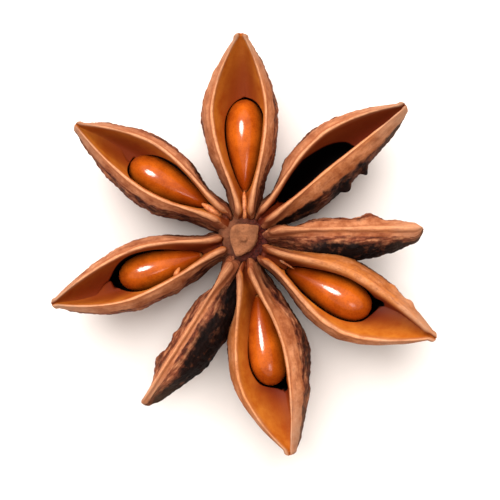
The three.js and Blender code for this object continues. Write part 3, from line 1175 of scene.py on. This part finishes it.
    def build(self) -> bpy.types.Object:
        """Models the carpel.

        Returns:
            The finished carpel.
        """
        rings = self.rings()
        rows, columns = rings["u"].shape
        piece, flat = begin(bpy.ops.mesh.primitive_grid_add, x_subdivisions=columns,
                            y_subdivisions=rows - 1, size=2)
        column = np.round((flat[:, 0] + 1) / 2 * columns).astype(int)
        row = np.round((flat[:, 1] + 1) / 2 * (rows - 1)).astype(int)
        self.map_grain(piece, row / rows, column / columns)
        # The last column of the grid comes round to the first one.
        move_to(piece, rings["places"][row, column % columns] * MM)
        for name in self.zones:
            mark(piece, name, rings[name][row, column % columns])
        weld(piece)
        self.roughen(piece)
        node = f"carpel_{self.number}"
        dress(piece, f"{node}_dry", PericarpFinish(), node)
        return piece

    def map_grain(self, piece: bpy.types.Object, along: np.ndarray, across: np.ndarray) -> None:
        """Lays the grain map: along the carpel on the first axis and round it on the second.

        Args:
            piece: The flat grid that becomes the carpel.
            along: How far along the carpel each vertex lies, from 0 to 1.
            across: How far round it each vertex lies, from 0 to 1.
        """
        corners = np.empty(len(piece.data.loops), dtype=np.int32)
        piece.data.loops.foreach_get("vertex_index", corners)
        uv = np.stack((along[corners] * self.size.seam_length * MM,
                       across[corners] * self.girth * MM), axis=1)
        layer = piece.data.uv_layers[0]
        layer.name = GRAIN
        layer.data.foreach_set("uv", uv.astype(np.float32).ravel())

    def roughen(self, piece: bpy.types.Object) -> None:
        """Presses the wrinkles of the dry skin and a faint unevenness of the lips.

        Args:
            piece: The smooth carpel.
        """
        smooth = coordinates(piece)
        normals = np.empty(len(smooth) * 3, dtype=np.float32)
        piece.data.vertices.foreach_get("normal", normals)
        skin = marked(piece, "skin")
        group_by(piece, "skin", skin)
        group_by(piece, "edge", np.maximum(skin, marked(piece, "edge")))
        press(piece, Relief.CLOUDS, 1.8, 0.35, "skin")
        press(piece, Relief.RIDGES, 1.1, -0.14, "skin")
        press(piece, Relief.CLOUDS, 1.5, 0.2, "edge")
        stand = ((settle(piece) - smooth) * normals.reshape(-1, 3)).sum(axis=1) / MM
        # A crease 0.3 mm deep gets the darkest painted shade.
        mark(piece, "crease", np.clip(stand / 0.3, -1, 1) * skin)
        piece.vertex_groups.clear()


# ----------------------------------------------------------------------------
# Seeds and the stalks that tie them


@dataclass
class Seed:
    """One polished seed in its carpel."""

    number: int
    size: CarpelSize

    def build(self) -> bpy.types.Object:
        """Models the seed.

        Returns:
            The finished seed.
        """
        piece, ball = begin(bpy.ops.mesh.primitive_uv_sphere_add, segments=96, ring_count=72)
        x = ball[:, 2]
        swell = (1 + SEED.taper * x) / SEED.peak
        move_to(piece, np.stack((x * SEED.length / 2, ball[:, 0] * swell * SEED.thickness / 2,
                                 ball[:, 1] * swell * SEED.height / 2), axis=1))
        mark(piece, "scar", 0.8 * ramp(-x, 0.93, 0.985))
        # Painted shade: the seed is darker on its lower side.
        mark(piece, "rim", ramp(-ball[:, 1], -0.35, 0.5))
        mark(piece, "inner", 0.6 * ramp(-x, -0.1, 0.9))
        piece.data.transform(self.lie())
        node = f"seed_{self.number}"
        dress(piece, f"{node}_polished", SeedCoatFinish(), node)
        return piece

    def lie(self) -> Matrix:
        """Lays the seed in its carpel.

        Returns:
            The matrix from the seed's own millimetres to metres.
        """
        place = self.size.pit
        seam, along, aside = self.size.basis(place.at)
        roll = float(self.size.lean(place.at))
        up = Vector((0, 0, math.cos(roll))) - aside * math.sin(roll)
        centre = seam + aside * (place.aside + SEED.below * math.sin(roll))
        centre.z -= SEED.below * math.cos(roll)
        basis = Matrix((along, up.cross(along), up)).transposed().to_4x4()
        for angle, axis in ((place.turn, "Z"), (place.dip, "Y"), (-place.lean, "X")):
            basis = basis @ Matrix.Rotation(math.radians(angle), 4, axis)
        scale = Matrix.Scale(place.length / SEED.length, 4)
        return Matrix.Scale(MM, 4) @ Matrix.Translation(centre) @ basis @ scale


@dataclass
class Tie:
    """The dry stalk that tied a seed to its carpel, a tapered sliver in the slit."""

    number: int
    size: CarpelSize
    start: float  # its two ends along the seam
    end: float
    below: float = 0.5  # its top, below the lips
    width: float = 0.5
    aside: float = 0.0
    turn: float = 0.0  # from the seam to the left, in degrees
    taper: float = 0.3
    bend: float = 0.25  # how far its ends hang
    tallness: float = 1.3  # its height as a share of its width

    def build(self) -> bpy.types.Object:
        """Models the tie.

        Returns:
            The finished tie.
        """
        piece, ball = begin(bpy.ops.mesh.primitive_uv_sphere_add, segments=24, ring_count=24)
        x = ball[:, 2]
        length = (self.end - self.start) * self.size.seam_length
        slim = self.width / 2 * (1 - self.taper * x)
        drop = self.bend * x * x
        move_to(piece, np.stack((x * length / 2, ball[:, 0] * slim,
                                 ball[:, 1] * slim * self.tallness - drop), axis=1))
        middle = (self.start + self.end) / 2
        seam, along, aside = self.size.basis(middle)
        roll = float(self.size.lean(middle))
        centre = seam + aside * (self.aside + self.below * math.sin(roll))
        centre.z -= self.below + self.width / 2
        basis = Matrix((along, aside, Vector((0, 0, 1)))).transposed().to_4x4()
        turn = Matrix.Rotation(math.radians(self.turn), 4, "Z")
        piece.data.transform(Matrix.Scale(MM, 4) @ Matrix.Translation(centre) @ basis @ turn)
        dress(piece, f"tie_{self.number}", TieFinish(), None)
        return piece


# ----------------------------------------------------------------------------
# Column


@dataclass
class Column:
    """The woody column: a blunt cork disc, a narrow neck and the stalk's end below."""

    rows: int = 120
    sides: int = 128
    disc_height: float = 7.62
    disc_thickness: float = 0.75
    # The disc's corners as heading in degrees and distance from the axis.
    corners: tuple[tuple[float, float], ...] = (
        (4, 1.22), (45, 1.84), (72, 1.41), (107, 1.49), (135, 1.59), (176, 1.3), (246, 1.71),
        (274, 1.3), (325, 1.06),
    )
    neck_radius: float = 1.12
    shoulder_height: float = 6.75
    shoulder_radius: float = 2.3
    waist_radius: float = 1.7
    foot_radius: float = 1.35
    nub_radius: float = 0.28
    nub_rise: float = 0.08
    groove: float = 0.12  # how deep the groove round the nub is, and where it is deepest
    groove_heading: float = -60.0
    shade_heading: float = 165.0  # where the neck is painted lightest, as painted light on the side the light comes from
    crispness: float = 14.0  # of the disc's corners

    def levels(self) -> tuple[tuple[float, float, float], ...]:
        """Lists the levels of the column from the foot to the middle of the disc.

        Returns:
            Height, radius, and how far the radius follows the disc's corners, in which case it is
            a share of theirs.
        """
        disc, shoulder = self.disc_height, self.shoulder_height
        return (
            (0.0, 0.2, 0), (0.0, self.foot_radius - 0.15, 0), (0.12, self.foot_radius, 0),
            (1.2, self.waist_radius, 0), (3.5, self.waist_radius, 0),
            (shoulder - 0.7, self.shoulder_radius, 0), (shoulder, 0.8 * self.shoulder_radius, 0),
            (shoulder + 0.1, self.neck_radius, 0),
            (disc - self.disc_thickness + 0.1, self.neck_radius, 0.3),
            (disc - 0.32, 1.0, 1), (disc - 0.08, 0.98, 1), (disc, 0.86, 1), (disc, 0.6, 1),
            (disc - 0.06, 0.3, 1), (disc - 0.02, 0.02, 1),
        )

    def radius_towards(self, angle: np.ndarray) -> np.ndarray:
        """Finds the disc's radius, with straight sides between its rounded corners.

        Args:
            angle: Angles in radians.

        Returns:
            The radius for each of them, the soft least of the distances to the sides.
        """
        turns = [(math.radians(heading), reach) for heading, reach in self.corners]
        corners = [(reach * math.cos(turn), reach * math.sin(turn)) for turn, reach in turns]
        inverse = np.zeros_like(angle)
        for (x1, y1), (x2, y2) in zip(corners, corners[1:] + corners[:1]):
            out = np.array((y2 - y1, x1 - x2)) / math.dist((x1, y1), (x2, y2))
            towards = np.clip(out[0] * np.cos(angle) + out[1] * np.sin(angle), 0, None)
            inverse = inverse + (towards / (out @ (x1, y1))) ** self.crispness
        return inverse ** (-1 / self.crispness)

    def build(self) -> bpy.types.Object:
        """Models the column.

        Returns:
            The finished column.
        """
        piece, flat = begin(bpy.ops.mesh.primitive_grid_add, x_subdivisions=self.sides,
                            y_subdivisions=self.rows, size=2)
        angle = (flat[:, 0] + 1) * np.pi
        levels = self.levels()
        height, radius, follow = (np.interp(flat[:, 1], np.linspace(-1, 1, len(levels)), values)
                                  for values in zip(*levels))
        radius = radius * mix(1.0, self.radius_towards(angle), follow)
        nub = np.exp(-((radius / self.nub_radius) ** 4)) * follow
        groove = np.exp(-(((radius - 1.25 * self.nub_radius) / 0.1) ** 2)) * follow
        groove = groove * (0.5 + 0.5 * np.cos(angle - math.radians(self.groove_heading)))
        height = height + self.nub_rise * nub - self.groove * groove
        places = np.stack((radius * np.cos(angle), radius * np.sin(angle), height), axis=1)
        move_to(piece, places * MM)
        # Painted shade darkens the neck under the disc, less on the side toward the light.
        below = 1 - ramp(height, self.disc_height - 0.7, self.disc_height - 0.4)
        lit = (0.5 + 0.5 * np.cos(angle - math.radians(self.shade_heading))) ** 2
        mark(piece, "below", below * mix(1.0, 0.45, lit))
        weld(piece, 0.002, fill=True)
        group_by(piece, "neck", marked(piece, "below"))
        press(piece, Relief.CLOUDS, 0.4, 0.5, "neck")
        group_by(piece, "all", np.ones(len(piece.data.vertices)))
        press(piece, Relief.CLOUDS, 0.7, 0.16, "all")
        press(piece, Relief.CLOUDS, 0.2, 0.05, "all")
        settle(piece)
        piece.vertex_groups.clear()
        dress(piece, "column_cork", CorkFinish(), "column")
        return piece


# ----------------------------------------------------------------------------
# Studio


@dataclass(frozen=True)
class Lamp:
    """A round lamp that faces the fruit; tilt is from upright and heading from +X, in degrees.

    A lamp that gleams shows only in reflections, and one that doesn't only lights.
    """

    name: str
    tilt: float
    heading: float
    distance: float
    size: float
    power: float
    gleams: bool

    def hang(self) -> None:
        """Hangs the lamp."""
        a, e = math.radians(self.heading), math.radians(self.tilt)
        way = Vector((math.cos(a) * math.sin(e), math.sin(a) * math.sin(e), math.cos(e)))
        bpy.ops.object.light_add(type="AREA", location=way * self.distance * MM)
        lamp = bpy.context.object
        lamp.name = self.name
        lamp.rotation_euler = way.to_track_quat("Z", "Y").to_euler()
        lamp.data.shape = "DISK"
        lamp.data.size = self.size * MM
        lamp.data.energy = self.power
        lamp.visible_glossy = self.gleams
        lamp.visible_diffuse = not self.gleams


@dataclass
class Studio:
    """A sheet of white paper, a soft box to the upper left, a low fill and the camera overhead."""

    view_width: float = 43.35  # of the picture, at the lips
    view_middle: tuple[float, float] = (0.52, -0.954)
    camera_distance: float = 434.0  # above the lips
    sensor_width: float = 36.0
    paper_width: float = 3000.0
    paper_gap: float = 0.02  # between the paper and the fruit
    lamps: tuple[Lamp, ...] = (
        Lamp("window", tilt=36, heading=104, distance=450, size=620, power=4.3, gleams=False),
        Lamp("spark", tilt=27, heading=150, distance=400, size=195, power=5.8, gleams=True),
        Lamp("card", tilt=38, heading=-65, distance=400, size=150, power=0.4, gleams=True),
    )
    sky: float = 0.95
    sky_colour: str = "fffdfa"

    def build(self) -> None:
        """Lays the paper and hangs the lamps, the sky and the camera."""
        paper, _ = begin(bpy.ops.mesh.primitive_plane_add, size=self.paper_width * MM,
                         location=(0, 0, -self.paper_gap * MM))
        paper.name = "paper"
        paper.data.materials.append(PaperFinish().material())
        for lamp in self.lamps:
            lamp.hang()
        world = bpy.data.worlds.new("soft_sky")
        world.use_nodes = True
        background = world.node_tree.nodes["Background"]
        background.inputs["Color"].default_value = linear(self.sky_colour)
        background.inputs["Strength"].default_value = self.sky
        bpy.context.scene.world = world
        bpy.context.scene.view_settings.view_transform = "Standard"
        place = Vector((*self.view_middle, SEAM_HEIGHT + self.camera_distance)) * MM
        bpy.ops.object.camera_add(location=place)
        camera = bpy.context.object
        camera.name = "overhead"
        camera.rotation_euler = (0, 0, 0)
        camera.data.sensor_width = self.sensor_width
        camera.data.lens = self.sensor_width * self.camera_distance / self.view_width
        camera.data.clip_start = 0.01
        camera.data.clip_end = 10.0
        bpy.context.scene.camera = camera


def main() -> None:
    """Builds the fruit and its studio in order."""
    logging.basicConfig(level=logging.INFO, format="%(message)s")
    Column().build()
    for number, size in enumerate(CARPELS, start=1):
        Carpel(number, size).build()
        if size.pit and size.seeded:
            Seed(number, size).build()
    Tie(1, CARPELS[0], -0.04, 0.13).build()
    Tie(4, CARPELS[3], 0.05, 0.17, below=1.5, width=0.24, turn=-6).build()
    Tie(7, CARPELS[6], 0.265, 0.325, below=-0.02, width=0.42, aside=1.05, turn=-138).build()
    Tie(8, CARPELS[7], 0.0, 0.14, width=0.7).build()
    Studio().build()


if __name__ == "__main__":
    main()
